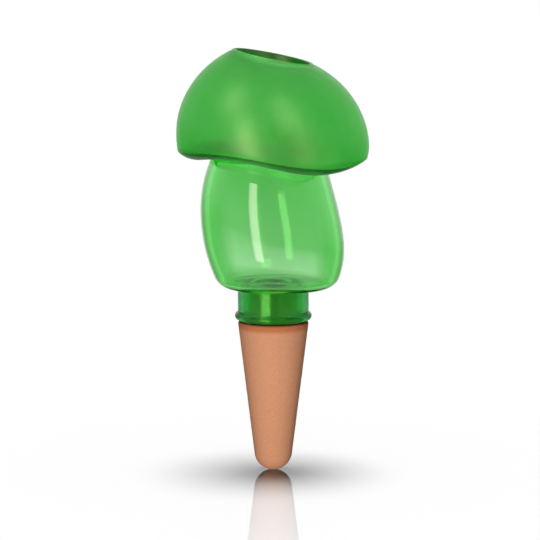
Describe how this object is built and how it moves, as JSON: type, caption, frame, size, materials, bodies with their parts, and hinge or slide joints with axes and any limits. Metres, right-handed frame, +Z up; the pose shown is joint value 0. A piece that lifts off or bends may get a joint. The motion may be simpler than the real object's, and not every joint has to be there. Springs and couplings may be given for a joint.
{
  "type": "plant waterer",
  "caption": "Mushroom-shaped plant waterer: clear green plastic reservoir with a slanted fill opening in its cap, on a porous clay cone that is pushed into the soil.",
  "frame": {"origin": "on the neck's axis at the soil line, which is the clay cone's rim", "axes": "+Z up along the neck's axis, +X to the right of the picture, towards the low side of the slanted cap, +Y away from its camera"},
  "size_m": [0.096, 0.096, 0.2125],
  "materials": {
    "cap_plastic": "satin, translucent green",
    "stem_plastic": "polished, clear green",
    "collar_plastic": "polished, clear dark green",
    "seal_rubber": "translucent silicone, matt",
    "bond": "set adhesive",
    "clay": "unglazed, fired"
  },
  "bodies": {
    "spike": {"clay_cone": "clay", "bond_ring": "bond", "neck_collar": "collar_plastic"},
    "gasket": {"neck_gasket": "seal_rubber"},
    "reservoir": {"stem_bulb": "stem_plastic"},
    "seal": {"mouth_seal": "seal_rubber"},
    "cap": {"cap_dome": "cap_plastic", "cap_deck": "stem_plastic"}
  },
  "joints": [
    {"name": "stem_turn", "type": "hinge", "parent": "spike", "child": "gasket", "pos_m": [0, 0, 0.003], "axis": [0, 0, 1], "continuous": true},
    {"name": "stem_pull", "type": "slide", "parent": "gasket", "child": "reservoir", "axis": [0, 0, 1], "range_m": [0, 0.03]},
    {"name": "cap_turn", "type": "hinge", "parent": "reservoir", "child": "seal", "pos_m": [-0.0031, 0, 0.09], "axis": [0, 0, 1], "continuous": true},
    {"name": "cap_lift", "type": "slide", "parent": "seal", "child": "cap", "axis": [0, 0, 1], "range_m": [0, 0.04]}
  ]
}
